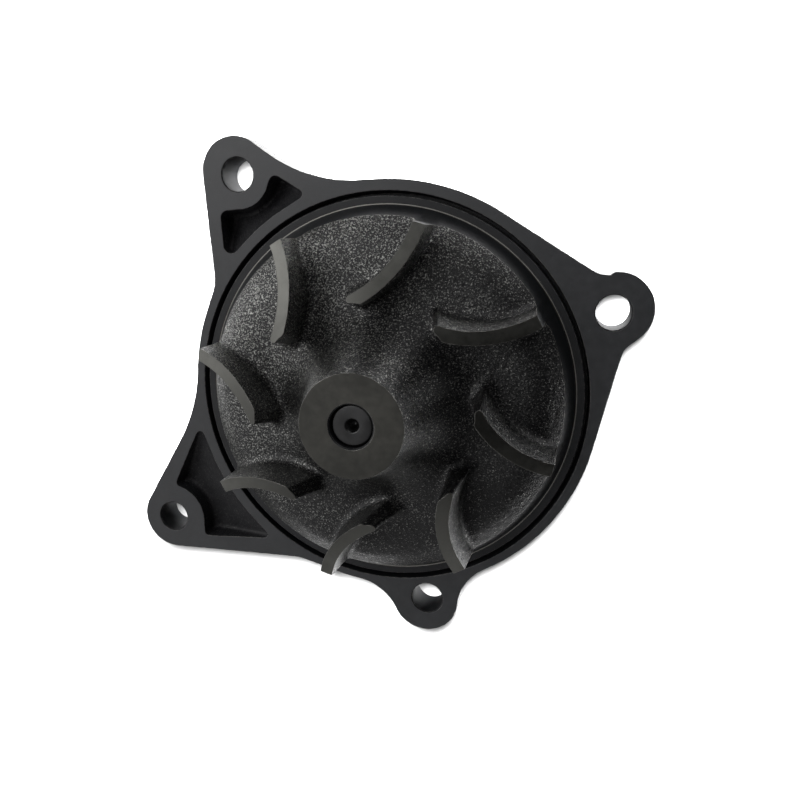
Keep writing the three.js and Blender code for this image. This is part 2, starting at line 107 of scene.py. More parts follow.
# The impeller. Its first vane is given, and the others are turned copies.
PLATE_R, LAND_R = 62.7, 60.0
PLATE_BOTTOM, LAND_Z, WALL_TOP = -5.4, -0.6, 5.8
HUB_R, HUB_TOP, HUB_BORE_R = 14.84, 40.2, 6.3
VANES = 8
VANE_CENTRE = (-55.93, 35.0)  # both side walls of the first vane are arcs about this point
VANE_HOLLOW_R, VANE_CROWN_R = 32.35, 36.2
VANE_TIP_R, VANE_TIP_TOP, VANE_TOP_SLOPE = 56.3, 20.9, 0.393
VANE_STEPS = (52, 8, 46, 6, 6)  # points along the crown, tip, hollow and two inner corners
PLATE_TOP = [  # (distance from the shaft, height) of the raw plate and hub flank
    (57.6, 5.2), (56.0, 6.6), (53.6, 8.3), (51.0, 9.7), (47.0, 10.9), (43.0, 11.3), (38.0, 11.6),
    (33.5, 12.4), (29.5, 14.0), (26.0, 16.6), (22.8, 20.3), (20.2, 25.0), (18.2, 30.0), (16.6, 35.0),
    (15.3, 39.5), (14.7, 42.0),
]

# The hidden pieces.
BEARING_BORE_R, RACE_R = 8.8, 8.5
TRACK_REACH = 0.8  # half the angle that a ball's track takes up, in radians
THREADS, THREAD_CIRCLE_R = 4, 27


# ---- Repeatable noise ---------------------------------------------------------------------

def lattice(cells, seed):
    """A repeatable random number from -1 to 1 for each whole-number cell."""
    h = cells[..., 0] * 374761393 + cells[..., 1] * 668265263 + cells[..., 2] * 974634777 + seed * 69069
    h = (h ^ (h >> 13)) * 1274126177
    h = (h ^ (h >> 16)) & 0xFFFF
    return h / 32767.5 - 1.0


def value_noise(points, seed):
    """Smooth noise from -1 to 1, with cells one unit wide."""
    base = np.floor(points).astype(np.int64)
    f = points - base
    f = f * f * (3 - 2 * f)
    total = np.zeros(len(points))
    for corner in np.ndindex(2, 2, 2):
        weight = np.prod(np.where(corner, f, 1 - f), axis=1)
        total += weight * lattice(base + np.array(corner), seed)
    return total


def sand(points, grain, seed):
    """Lumpy noise like a sand mould's skin: three sizes of grain, the largest grain mm wide."""
    coarse = value_noise(points / grain, seed)
    medium = value_noise(points / (grain * 0.55) + 17.3, seed + 1)
    fine = value_noise(points / (grain * 0.3) + 41.9, seed + 2)
    return 0.45 * coarse + 0.35 * medium + 0.2 * fine


# ---- Shells: closed meshes as (points, faces), in mm --------------------------------------

def band(rows, columns, wrap_rows):
    """Quads of a grid whose columns close on themselves."""
    faces = []
    for i in range(rows if wrap_rows else rows - 1):
        k = (i + 1) % rows
        for j in range(columns):
            n = (j + 1) % columns
            faces.append((i * columns + j, i * columns + n, k * columns + n, k * columns + j))
    return faces


def turned(profile, segments=96):
    """Turns an (r, z) outline, listed with the solid on its left, about the Z axis."""
    outline = np.array(profile, float)
    on_axis = outline[0, 0] == 0
    rings = outline[1:-1] if on_axis else outline
    angles = np.arange(segments) * 2 * np.pi / segments
    points = np.stack([
        np.outer(rings[:, 0], np.cos(angles)),
        np.outer(rings[:, 0], np.sin(angles)),
        np.repeat(rings[:, 1:], segments, axis=1),
    ], -1).reshape(-1, 3)
    faces = band(len(rings), segments, not on_axis)
    if on_axis:
        low, high = len(points), len(points) + 1
        points = np.vstack([points, [0, 0, outline[0, 1]], [0, 0, outline[-1, 1]]])
        top = (len(rings) - 1) * segments
        for j in range(segments):
            n = (j + 1) % segments
            faces += [(low, n, j), (high, top + j, top + n)]
    return points, faces


def stack(levels):
    """A solid through a list of loops with equal point counts, the lowest loop first."""
    count = len(levels[0])
    faces = band(len(levels), count, False)
    faces.append(tuple(range(count))[::-1])
    faces.append(tuple(range((len(levels) - 1) * count, len(levels) * count)))
    return np.vstack(levels), faces


def at_height(loop, z):
    return np.column_stack([loop, np.full(len(loop), z)])


def merged(*shells):
    points, faces, start = [], [], 0
    for shell_points, shell_faces in shells:
        points.append(shell_points)
        faces += [tuple(i + start for i in face) for face in shell_faces]
        start += len(shell_points)
    return np.vstack(points), faces


def moved(shell, x=0.0, y=0.0, z=0.0, turn=0.0):
    points, faces = shell
    c, s = math.cos(turn), math.sin(turn)
    turned_points = points @ np.array([[c, s, 0], [-s, c, 0], [0, 0, 1]])
    return turned_points + np.array([x, y, z]), faces


def curve_through(points, step):
    """Points about step apart on a smooth curve through the given ones."""
    p = np.array(points, float)
    ends = np.vstack([2 * p[0] - p[1], p, 2 * p[-1] - p[-2]])
    out = []
    for i in range(1, len(ends) - 2):
        a, b, c, d = ends[i - 1:i + 3]
        for t in np.linspace(0, 1, max(2, int(np.linalg.norm(c - b) / step) + 1))[:-1]:
            out.append(0.5 * (2 * b + (c - a) * t + (2 * a - 5 * b + 4 * c - d) * t ** 2
                              + (3 * b - a - 3 * c + d) * t ** 3))
    return np.vstack([out, p[-1:]])


def eased(profile, r):
    """The closed outline with a small round of radius about r on every corner."""
    p = np.array(profile, float)
    out = []
    for before, corner, after in zip(np.roll(p, 1, 0), p, np.roll(p, -1, 0)):
        reach_in = min(r, 0.4 * np.linalg.norm(before - corner))
        reach_out = min(r, 0.4 * np.linalg.norm(after - corner))
        start = corner + (before - corner) / np.linalg.norm(before - corner) * reach_in
        end = corner + (after - corner) / np.linalg.norm(after - corner) * reach_out
        for t in (0.0, 0.33, 0.67, 1.0):
            out.append((1 - t) ** 2 * start + 2 * t * (1 - t) * corner + t * t * end)
    return out


# ---- Belts: outlines made of arcs and tangents --------------------------------------------

def belt_headings(circles):
    """Headings of the tangents that leave each circle. A negative radius is a hollow bend."""
    headings = []
    for (x, y, r), (nx, ny, nr) in zip(circles, circles[1:] + circles[:1]):
        lean = max(-1.0, min(1.0, (nr - r) / math.hypot(nx - x, ny - y)))
        headings.append(math.atan2(ny - y, nx - x) - math.asin(lean))
    return headings


def belt(circles, offset=0.0, step=1.0, counts=None):
    """The anticlockwise outline round a list of (x, y, r), pushed outwards by offset."""
    headings = belt_headings(circles)
    loop = []
    for i, (x, y, r) in enumerate(circles):
        sweep = (headings[i] - headings[i - 1]) % (2 * math.pi)
        if r < 0:
            sweep -= 2 * math.pi
        if abs(sweep) > 6:
            sweep = 0.0
        count = counts[i] if counts else max(3, math.ceil(abs(sweep * r) / step))
        for k in range(count + 1):
            h = headings[i - 1] + sweep * k / count
            loop.append((x + (r + offset) * math.sin(h), y - (r + offset) * math.cos(h)))
    return np.array(loop)


def touching(a, b, r, side):
    """A hollow bend of radius r that touches circles a and b from outside."""
    across = math.hypot(b[0] - a[0], b[1] - a[1])
    along = ((a[2] + r) ** 2 - (b[2] + r) ** 2 + across ** 2) / (2 * across)
    out = side * math.sqrt((a[2] + r) ** 2 - along ** 2)
    ux, uy = (b[0] - a[0]) / across, (b[1] - a[1]) / across
    return (a[0] + along * ux - out * uy, a[1] + along * uy + out * ux, -r)


def flange_outline():
    bottom, waists = EARS["bottom"], WAISTS
    return [
        EARS["right"], waists["above_right"], BODY, waists["beside_top"], EARS["top_left"],
        waists["below_top"], BODY, waists["left"], EARS["bottom_left"], waists["beside_bottom_left"], BODY,
        touching(BODY, bottom, BOTTOM_WAIST_R, -1), bottom, touching(BODY, bottom, BOTTOM_WAIST_R, 1),
        BODY, waists["below_right"],
    ]


# ---- Objects ------------------------------------------------------------------------------

def make_object(name, shell, material):
    points, faces = shell
    mesh = bpy.data.meshes.new(name)
    mesh.from_pydata(((points + [0, 0, FACE]) * MM).tolist(), [], faces)
    mesh.materials.append(material)
    obj = bpy.data.objects.new(name, mesh)
    bpy.context.scene.collection.objects.link(obj)
    return obj


def bake(obj):
    """Replaces the object's mesh by what its modifiers make of it."""
    depsgraph = bpy.context.evaluated_depsgraph_get()
    mesh = bpy.data.meshes.new_from_object(obj.evaluated_get(depsgraph))
    old = obj.data
    obj.modifiers.clear()
    obj.data = mesh
    bpy.data.meshes.remove(old)


def fuse(obj, voxel, easing):
    """Fuses overlapping shells into one skin and eases its edges."""
    material = obj.data.materials[0]
    remesh = obj.modifiers.new("fuse", "REMESH")
    remesh.mode = "VOXEL"
    remesh.voxel_size = voxel * MM
    smooth = obj.modifiers.new("ease", "SMOOTH")
    smooth.factor = 0.5
    smooth.iterations = easing
    bake(obj)
    obj.data.materials.clear()
    obj.data.materials.append(material)


def take_out(obj, tool, operation="DIFFERENCE"):
    """Cuts the tool out of the object, material and all, or keeps what lies inside it."""
    cut = obj.modifiers.new("cut", "BOOLEAN")
    cut.operation = operation
    cut.solver = "MANIFOLD"
    cut.material_mode = "TRANSFER"
    cut.object = tool
    bake(obj)
    bpy.data.objects.remove(tool)


def machine(obj, shell, material, operation="DIFFERENCE"):
    """Cuts a shell into the object. The faces it makes get the material."""
    take_out(obj, make_object("tool", shell, material), operation)


def corners(mesh):
    flat = np.zeros(len(mesh.vertices) * 3, np.float32)
    mesh.vertices.foreach_get("co", flat)
    return flat.reshape(-1, 3).astype(float) / MM


def roughen(obj, amount, grain, seed):
    """Pushes the skin inwards by up to 2 * amount with sand-mould noise."""
    mesh = obj.data
    normals = np.zeros(len(mesh.vertices) * 3, np.float32)
    mesh.vertices.foreach_get("normal", normals)
    points = corners(mesh)
    depth = amount * (sand(points, grain, seed) - 0.9)
    points = points + normals.reshape(-1, 3) * depth[:, None]
    mesh.vertices.foreach_set("co", (points * MM).astype(np.float32).ravel())
    mesh.update()


def mark_worn_edges(obj):
    """Stores worn = 1 on the points where a cut face meets the raw skin or another cut."""
    mesh = obj.data
    per_face = np.zeros(len(mesh.polygons), np.int32)
    sizes = np.zeros(len(mesh.polygons), np.int32)
    loops = np.zeros(len(mesh.loops), np.int32)
    mesh.polygons.foreach_get("material_index", per_face)
    mesh.polygons.foreach_get("loop_total", sizes)
    mesh.loops.foreach_get("vertex_index", loops)
    slot = np.repeat(per_face, sizes)
    lowest = np.full(len(mesh.vertices), 99)
    highest = np.full(len(mesh.vertices), -1)
    np.minimum.at(lowest, loops, slot)
    np.maximum.at(highest, loops, slot)
    worn = mesh.attributes.new("worn", "FLOAT", "POINT")
    worn.data.foreach_set("value", (lowest != highest).astype(np.float32))


def dress(obj, nodes, body, crease=40):
    """Smooth shading with sharp creases and flat flats, then hands the piece to its body."""
    mesh = obj.data
    mesh.shade_smooth()
    mesh.set_sharp_from_angle(angle=math.radians(crease))
    flats = obj.modifiers.new("flats", "WEIGHTED_NORMAL")
    flats.weight = 60
    flats.keep_sharp = True
    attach(obj, body)
    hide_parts(*nodes)
    return obj


# ---- Materials ----------------------------------------------------------------------------

class Graph:
    """A material's nodes, with coordinates in mm."""

    def __init__(self, name):
        self.material = bpy.data.materials.new(name)
        self.material.use_nodes = True
        self.tree = self.material.node_tree
        self.shader = self.tree.nodes["Principled BSDF"]
        place = self.node("ShaderNodeTexCoord").outputs["Object"]
        metre = 1 / MM
        scaled = self.node("ShaderNodeVectorMath", {0: place, 1: (metre, metre, metre)}, operation="MULTIPLY")
        self.mm = scaled.outputs[0]

    def node(self, kind, inputs=None, **settings):
        made = self.tree.nodes.new(kind)
        for key, value in settings.items():
            setattr(made, key, value)
        for key, value in (inputs or {}).items():
            if isinstance(value, bpy.types.NodeSocket):
                self.tree.links.new(value, made.inputs[key])
            else:
                made.inputs[key].default_value = value
        return made

    def noise(self, scale, detail=2.0, rough=0.5, vector=None, stretch=None):
        where = vector or self.mm
        if stretch:
            where = self.node("ShaderNodeVectorMath", {0: where, 1: stretch}, operation="MULTIPLY").outputs[0]
        inputs = {"Vector": where, "Scale": scale, "Detail": detail, "Roughness": rough}
        return self.node("ShaderNodeTexNoise", inputs).outputs["Fac"]

    def noise_across(self, scale, detail=2.0, rough=0.5):
        """Noise that only changes with the distance from the shaft, as turning marks do."""
        across = self.node("ShaderNodeCombineXYZ", {0: self.radius(), 1: 0.0, 2: 0.0}).outputs[0]
        return self.noise(scale, detail, rough, vector=across)

    def cells(self, scale, output="Distance", vector=None):
        made = self.node("ShaderNodeTexVoronoi", {"Vector": vector or self.mm, "Scale": scale})
        return made.outputs[output]

    def math(self, operation, a, b=0.5):
        return self.node("ShaderNodeMath", {0: a, 1: b}, operation=operation).outputs[0]

    def span(self, value, low, high, to_low=0.0, to_high=1.0):
        inputs = {"Value": value, "From Min": low, "From Max": high, "To Min": to_low, "To Max": to_high}
        return self.node("ShaderNodeMapRange", inputs).outputs[0]

    def mix(self, factor, a, b):
        made = self.node("ShaderNodeMix", {0: factor}, data_type="RGBA")
        for key, value in ((6, a), (7, b)):
            if isinstance(value, bpy.types.NodeSocket):
                self.tree.links.new(value, made.inputs[key])
            else:
                made.inputs[key].default_value = (*value, 1.0)
        return made.outputs[2]

    def bump(self, height, depth, normal=None):
        """Relief of about depth mm."""
        inputs = {"Height": height, "Distance": depth * MM, "Strength": 1.0}
        if normal:
            inputs["Normal"] = normal
        return self.node("ShaderNodeBump", inputs).outputs["Normal"]

    def radius(self):
        flat = self.node("ShaderNodeVectorMath", {0: self.mm, 1: (1, 1, 0)}, operation="MULTIPLY").outputs[0]
        return self.node("ShaderNodeVectorMath", {0: flat}, operation="LENGTH").outputs["Value"]

    def edge(self, radius):
        """(1 on sharp edges and 0 elsewhere, the normal as if the edges were rounded)."""
        soft = self.node("ShaderNodeBevel", {"Radius": radius * MM}, samples=4).outputs[0]
        plain = self.node("ShaderNodeNewGeometry").outputs["Normal"]
        dot = self.node("ShaderNodeVectorMath", {0: soft, 1: plain}, operation="DOT_PRODUCT").outputs["Value"]
        return self.span(dot, 0.985, 0.85), soft

    def worn(self):
        return self.node("ShaderNodeAttribute", attribute_name="worn").outputs["Fac"]

    def finish(self, colour, roughness, metallic, normal=None, specular=0.5):
        values = {
            "Base Color": colour,
            "Roughness": roughness,
            "Metallic": metallic,
            "Specular IOR Level": specular,
        }
        if normal:
            values["Normal"] = normal
        for key, value in values.items():
            if isinstance(value, bpy.types.NodeSocket):
                self.tree.links.new(value, self.shader.inputs[key])
            elif key == "Base Color":
                self.shader.inputs[key].default_value = (*value, 1.0)
            else:
                self.shader.inputs[key].default_value = value
        return self.material


BARE_IRON = (0.60, 0.59, 0.56)  # where an edge is rubbed bright


def sand_cast(name, dark, light, painted_glint_colour, size, relief):
    """Painted sand casting: packed grains about size mm across, with pale flecks on some of them as painted
    glints.
    """
    g = Graph(name)
    warp = g.node("ShaderNodeTexNoise", {"Vector": g.mm, "Scale": 1.1, "Detail": 1.0}).outputs["Color"]
    bent = g.node("ShaderNodeVectorMath", {0: g.mm, 1: warp}, operation="ADD").outputs[0]
    grains = g.math("POWER", g.cells(1 / size, vector=bent), 1.5)
    crumbs = g.cells(1.9 / size, vector=bent)
    dust = g.noise(3.4, 3.0, 0.6)
    cloud = g.noise(0.09, 3.0)
    height = g.math("ADD", g.math("MULTIPLY", grains, -1.0), g.math("MULTIPLY", crumbs, -0.4))
    height = g.math("ADD", height, g.math("MULTIPLY", dust, 0.5))
    height = g.math("ADD", height, g.math("MULTIPLY", g.noise(0.9, 2.0), 0.8))
    pick = g.span(g.cells(1 / size, "Color", bent), 0.55, 0.8)
    # Pale flecks on some grain tops: painted glints.
    painted_glint_mask = g.math("MULTIPLY", g.span(grains, 0.3, 0.08), pick)
    base = g.mix(g.span(cloud, 0.35, 0.7), dark, light)
    # The fleck colour is a painted glint laid over the grain's own colour.
    base = g.mix(g.math("MULTIPLY", painted_glint_mask, 0.8), base, painted_glint_colour)
    worn = g.math("MULTIPLY", g.worn(), g.span(g.noise(0.8, 2.0), 0.38, 0.6, 0.1, 1.0))
    base = g.mix(worn, base, (0.5, 0.49, 0.46))
    rough = g.span(g.math("ADD", dust, g.math("MULTIPLY", painted_glint_mask, -0.25)), 0.2, 0.8, 0.3, 0.55)
    return g.finish(base, rough, worn, g.bump(height, relief), specular=0.4)


def rough_cast(name, size, relief):
    """Thin black paint over coarse sand grains with bare iron tops, whose pale specks also stand in for
    glints; they grow denser towards the upper left as painted light from that side.
    """
    g = Graph(name)
    grain = g.noise(1 / size, 3.0, 0.7)
    lumps = g.noise(0.7, 2.0)
    height = g.math("ADD", g.math("MULTIPLY", grain, 1.4), g.math("MULTIPLY", lumps, 1.2))
    painted_light_side = (-0.7, 0.7, 0)
    side = g.node("ShaderNodeVectorMath", {0: g.mm, 1: painted_light_side}, operation="DOT_PRODUCT").outputs["Value"]
    # Fewer bare tops to the lower right and more to the upper left: painted light from the upper left.
    uneven = g.span(side, -50, 50, -0.065, 0.02)
    rub = g.math("ADD", g.math("MULTIPLY", g.noise(0.12, 2.0), 0.10), uneven)
    # Bare iron grain tops, partly real wear and partly painted glints.
    bare = g.span(g.math("ADD", grain, rub), 0.58, 0.68)
    paint = g.mix(lumps, (0.004, 0.004, 0.005), (0.009, 0.009, 0.010))
    base = g.mix(bare, paint, (0.68, 0.68, 0.65))
    worn = g.math("MULTIPLY", g.worn(), g.span(g.noise(0.8, 2.0), 0.38, 0.6, 0.1, 1.0))
    base = g.mix(worn, base, BARE_IRON)
    return g.finish(base, 0.3, g.math("MAXIMUM", bare, worn), g.bump(height, relief), 0.8)


def machined_iron(name, dark, light, roughness, metallic, rings=0.0, lines=0.0, gloss=0.5, fade=None):
    """Cut iron: turning rings or milling lines, stains, small pits and a few bright bare spots."""
    g = Graph(name)
    stain = g.noise(0.06, 4.0, 0.6)
    blotch = g.noise(0.35, 3.0, 0.65)
    grit = g.noise(2.6, 2.0, 0.6)
    height = g.math("MULTIPLY", grit, 0.5)
    if rings:
        height = g.math("ADD", height, g.math("MULTIPLY", g.noise_across(2.4, 3.0, 0.7), rings))
    if lines:
        milled = g.noise(1.6, 3.0, 0.6, stretch=(0.12, 1.9, 1.0))
        height = g.math("ADD", height, g.math("MULTIPLY", milled, lines))
    pits = g.span(g.cells(0.16), 0.05, 0.09)
    height = g.math("ADD", height, g.math("MULTIPLY", pits, 0.6))
    patch = g.math("ADD", g.math("MULTIPLY", stain, 0.6), g.math("MULTIPLY", blotch, 0.4))
    base = g.mix(g.span(patch, 0.38, 0.62), dark, light)
    if fade:
        near, far, dim = fade
        base = g.mix(g.span(g.radius(), near, far, 1.0, 0.0), base, tuple(dim * c for c in light))
    marks = g.span(g.noise(0.9, 4.0, 0.75), 0.62, 0.75)
    scuff = g.math("MULTIPLY", marks, g.span(g.noise(0.05, 2.0), 0.45, 0.6))
    base = g.mix(g.math("MULTIPLY", scuff, 0.35), base, (0.2, 0.2, 0.19))
    edge, soft = g.edge(0.28)
    edge = g.math("MULTIPLY", edge, g.span(g.noise(0.5, 2.0), 0.38, 0.6, 0.15, 0.9))
    base = g.mix(edge, base, BARE_IRON)
    rough = g.span(g.math("ADD", blotch, grit), 0.7, 1.3, roughness - 0.07, roughness + 0.09)
    metal = g.math("MAXIMUM", edge, metallic)
    return g.finish(base, rough, metal, g.bump(height, 0.02, soft), gloss)


def steel(name, colour, roughness, rings=True, metallic=1.0):
    """Ground or turned steel with faint rings and oil film."""
    g = Graph(name)
    film = g.noise(0.15, 3.0)
    height = g.noise(4.0, 2.0)
    if rings:
        height = g.math("ADD", height, g.noise_across(3.0))
    dim = tuple(0.72 * c for c in colour)
    base = g.mix(g.span(film, 0.35, 0.65), dim, colour)
    rough = g.span(film, 0.3, 0.7, roughness - 0.06, roughness + 0.1)
    return g.finish(base, rough, metallic, g.bump(height, 0.006))


def moulded(name, colour, roughness, grain=1.5, relief=0.02):
    """Rubber, nylon, carbon or ceramic: a faint skin texture and uneven sheen."""
    g = Graph(name)
    skin = g.noise(grain, 3.0, 0.6)
    patch = g.noise(0.2, 2.0)
    light = tuple(min(1.0, 1.25 * c) for c in colour)
    base = g.mix(g.span(patch, 0.35, 0.65), colour, light)
    rough = g.span(skin, 0.3, 0.7, roughness - 0.08, roughness + 0.08)
    return g.finish(base, rough, 0.0, g.bump(skin, relief))


CAST_ROUGH = rough_cast("cast_rough", 0.5, 0.16)
# The third colour is the painted glint on the grains.
CAST_FINE = sand_cast(
    "cast_fine", (0.022, 0.022, 0.025), (0.034, 0.034, 0.037), (0.10, 0.10, 0.10), size=0.6, relief=0.10)
GROUND_FACE = machined_iron(
    "ground_face", (0.030, 0.032, 0.037), (0.048, 0.050, 0.057), 0.40, 0.0, lines=0.5, gloss=1.2)
TURNED_DARK = machined_iron(
    "turned_dark", (0.019, 0.020, 0.023), (0.029, 0.030, 0.034), 0.42, 0.0, rings=1.0, gloss=0.6)
BORE_DARK = machined_iron(
    "bore_dark", (0.018, 0.019, 0.022), (0.030, 0.031, 0.034), 0.7, 0.0, gloss=0.3)
TURNED_HUB = machined_iron(
    "turned_hub", (0.12, 0.119, 0.110), (0.16, 0.157, 0.143), 0.36, 1.0, rings=0.8)
VANE_TOPS = machined_iron(
    "vane_tops", (0.21, 0.208, 0.193), (0.28, 0.278, 0.258), 0.40, 1.0, rings=0.8, fade=(30, 56, 0.5))
BARE_EDGE = machined_iron("bare_edge", (0.5, 0.49, 0.46), (0.6, 0.59, 0.56), 0.45, 1.0)
SHAFT_STEEL = steel("shaft_steel", (0.12, 0.12, 0.122), 0.38)
HUB_STEEL = steel("hub_steel", (0.30, 0.30, 0.31), 0.38)
BEARING_STEEL = steel("bearing_steel", (0.62, 0.63, 0.64), 0.18)
SHEET_STEEL = steel("sheet_steel", (0.42, 0.43, 0.44), 0.32)
SPRING_STEEL = steel("spring_steel", (0.5, 0.5, 0.5), 0.28, rings=False)
BRASS = steel("brass", (0.62, 0.46, 0.2), 0.3)
RUBBER = moulded("rubber", (0.015, 0.015, 0.016), 0.6)
NYLON = moulded("nylon", (0.22, 0.18, 0.11), 0.5)
CARBON = moulded("carbon", (0.022, 0.022, 0.025), 0.34, 3.0, 0.008)
CERAMIC = moulded("ceramic", (0.72, 0.69, 0.6), 0.22, 2.0, 0.004)


# ---- Housing ------------------------------------------------------------------------------

def ear_rib(x, y):
    """A web on the back of the flange, from the bearing boss out to one ear."""
    reach = math.hypot(x, y) - 5
    sweep = curve_through([(29.5, -50), (33, -36), (42, -25), (reach, -FLANGE_T - 2.5)], 2.0)
    outline = np.vstack([[(20, -9), (20, -50)], sweep, [(reach + 2, -9)]])
    levels = []
    for side, inset in ((-3.0, 1.2), (-2.2, 0.0), (2.2, 0.0), (3.0, 1.2)):
        loop = outline.copy()
        loop[2:-1, 1] += inset
        levels.append(np.column_stack([loop[:, 0], np.full(len(loop), -side), loop[:, 1]]))
    return moved(stack(levels), turn=math.atan2(y, x))


def pocket(outline, floor):
    """The shape to take out for a pocket: drafted walls over a floor that climbs to the rim."""
    deep = floor[-1][1]
    draft = [(deep - 1, -1.1), (0.0, 0.0), (3.0, 0.35)]
    loops = [at_height(belt(outline, offset, 0.8), z) for z, offset in draft]
    walls = make_object("pocket", stack(loops), CAST_FINE)
    inner, outer, above = RIM_R - 1, 2 * RIM_R, 3
    bed = curve_through(floor, 0.7)
    ramp = [(inner, -0.15), (RIM_R, -0.3), *bed, (outer, deep), (outer, above), (inner, above)]
    machine(walls, turned(ramp, 288), CAST_FINE, "INTERSECT")
    return walls


def raw_housing():
    """The raw casting before its skin is fused: flange, trumpet, ribs, and a pad behind each bolt."""
    allowance, boss_r, core = 2.0, 32, -8.5
    edge = [(-FLANGE_T, -0.6), (-FLANGE_T + 0.5, -0.15), (-FLANGE_T + 1.2, -0.04), (allowance, -0.04)]
    outline = flange_outline()
    flange = stack([at_height(belt(outline, offset), z) for z, offset in edge])
    slab = make_object("raw_flange", flange, CAST_FINE)
    for hollow in (pocket(TOP_POCKET, TOP_POCKET_FLOOR), pocket(SIDE_POCKET, SIDE_POCKET_FLOOR)):
        take_out(slab, hollow)
    low = HOUSING_END - allowance
    trumpet = curve_through(BOSS_BACK, 1.0)
    body = turned([(0, low), (boss_r, low), (boss_r, -61), *trumpet, (trumpet[-1][0], core), (0, core)], 160)
    pad = turned(eased([(0, -12.4), (9.0, -12.4), (10.2, core), (0, core)], 0.4), 48)
    ribs = [ear_rib(x, y) for x, y in BOLTS.values()]
    pads = [moved(pad, x, y) for x, y in BOLTS.values()]
    join(slab, make_object("raw_back", merged(body, *ribs, *pads), CAST_FINE))
    return slab


def join(target, other):
    """Adds the other object's mesh to target's."""
    def shell(obj):
        faces = [tuple(p.vertices) for p in obj.data.polygons]
        return corners(obj.data) - [0, 0, FACE], faces
    both = make_object("both", merged(shell(target), shell(other)), CAST_FINE)
    old, target.data = target.data, both.data
    bpy.data.objects.remove(both)
    bpy.data.objects.remove(other)
    bpy.data.meshes.remove(old)


def housing_bores():
    """Everything that is turned out of the housing, from the open end up to the register."""
    clear, chamfer, open_end = 24.6, 0.8, -90
    return [
        (0, open_end), (clear, open_end), (clear, HOUSING_END), (REAR_BORE_R, HOUSING_END + chamfer),
        (REAR_BORE_R, CLIP_GROOVE_LOW), (CLIP_GROOVE_R, CLIP_GROOVE_LOW), (CLIP_GROOVE_R, CLIP_GROOVE_HIGH),
        (REAR_BORE_R, CLIP_GROOVE_HIGH), (REAR_BORE_R, REAR_BORE_TOP), (FRONT_BORE_R, REAR_BORE_TOP),
        (FRONT_BORE_R, FRONT_BORE_TOP), (DRIP_R, FRONT_BORE_TOP), (DRIP_R, SEAL_BORE_BOTTOM),
        (SEAL_BORE_R, SEAL_BORE_BOTTOM), (SEAL_BORE_R, -REGISTER_DEPTH - 0.6),
        (SEAL_BORE_R + 0.6, -REGISTER_DEPTH), (REGISTER_R - 0.6, -REGISTER_DEPTH),
        (REGISTER_R, -REGISTER_DEPTH + 0.6), (REGISTER_R, -0.15), (REGISTER_R + 0.15, 0.0),
        (REGISTER_R + 0.15, 9), (0, 9),
    ]


def housing():
    voxel, easing, skin, grain, seed = 0.6, 3, 0.13, 1.7, 5
    obj = raw_housing()
    fuse(obj, voxel, easing)
    roughen(obj, skin, grain, seed)
    face_mill = [(0, 0), (140, 0), (140, 9), (0, 9)]
    machine(obj, turned(face_mill, 64), GROUND_FACE)
    machine(obj, turned(housing_bores(), 288), TURNED_DARK)
    bolt = [
        (0, -30), (BOLT_SEAT_R, -30), (BOLT_SEAT_R, BOLT_SEAT_Z), (BOLT_R + 0.5, BOLT_SEAT_Z),
        (BOLT_R, BOLT_SEAT_Z + 0.5), (BOLT_R, -0.3), (BOLT_R + 0.3, 0), (BOLT_R + 0.3, 5), (0, 5),
    ]
    for x, y in BOLTS.values():
        machine(obj, moved(turned(bolt, 56), x, y), BORE_DARK)
    end_face = [
        (22, -95), (60, -95), (60, HOUSING_END + 1.2), (31.5, HOUSING_END + 1.2),
        (30.3, HOUSING_END), (22, HOUSING_END),
    ]
    machine(obj, turned(end_face, 128), TURNED_DARK)
    points, faces = turned([(0, 0), (WEEP_R, 0), (WEEP_R, 45), (0, 45)], 32)
    lay_down = np.array([[1, 0, 0], [0, 0, 1], [0, -1, 0]])
    machine(obj, (points @ lay_down + [0, 0, WEEP_Z], faces), TURNED_DARK)
    mark_worn_edges(obj)
    obj.name = "housing_casting"
    return dress(obj, ["pump_housing"], "housing")


# ---- Impeller -----------------------------------------------------------------------------

def plate_height(r):
    """Height of the raw plate and hub flank at distance r from the shaft."""
    curve = np.array(PLATE_TOP)[::-1]
    return np.interp(r, curve[:, 0], curve[:, 1])


def on_arc(r, degrees):
    a = math.radians(degrees)
    return VANE_CENTRE[0] + r * math.cos(a), VANE_CENTRE[1] + r * math.sin(a)


def vane_plan(swing, draft):
    """Plan of the first vane. swing turns its inner end towards the hub, in degrees, and draft
    thickens it towards the plate, in mm."""
    hollow, crown = VANE_HOLLOW_R - draft, VANE_CROWN_R + 0.15 * draft
    inner, outer = 1.2, 1.7
    return [
        (*VANE_CENTRE, crown),
        (*on_arc((hollow + crown) / 2, 33), (crown - hollow) / 2),
        (*VANE_CENTRE, -hollow),
        (*on_arc(hollow + inner, -20.2 - swing * 0.8), inner),
        (*on_arc(crown - outer, -15.3 - swing), outer),
    ]


def vane():
    """One raw vane: it flares into the plate through a fillet and is cast over height."""
    fillet, draft = 2.5, 1.3
    levels = []
    for h in (-1.5, 0.0, 0.12, 0.35, 0.75, 1.3, 2.0, fillet):
        depth = max(0.0, h)
        flare = fillet - math.sqrt(fillet ** 2 - (fillet - depth) ** 2)
        loop = belt(vane_plan(8.5 - 0.5 * depth, draft), flare, counts=VANE_STEPS)
        levels.append(np.column_stack([loop, plate_height(np.hypot(*loop.T)) + h]))
    start = levels[-1]
    for share in (0.25, 0.5, 0.75, 1.0):
        loop = belt(vane_plan(7.2 * (1 - share), draft * (1 - share)), counts=VANE_STEPS)
        r = np.hypot(*loop.T)
        top = VANE_TIP_TOP - VANE_TOP_SLOPE * (r - VANE_TIP_R) + 2.0
        levels.append(np.column_stack([loop, (1 - share) * start[:, 2] + share * top]))
    return stack(levels)


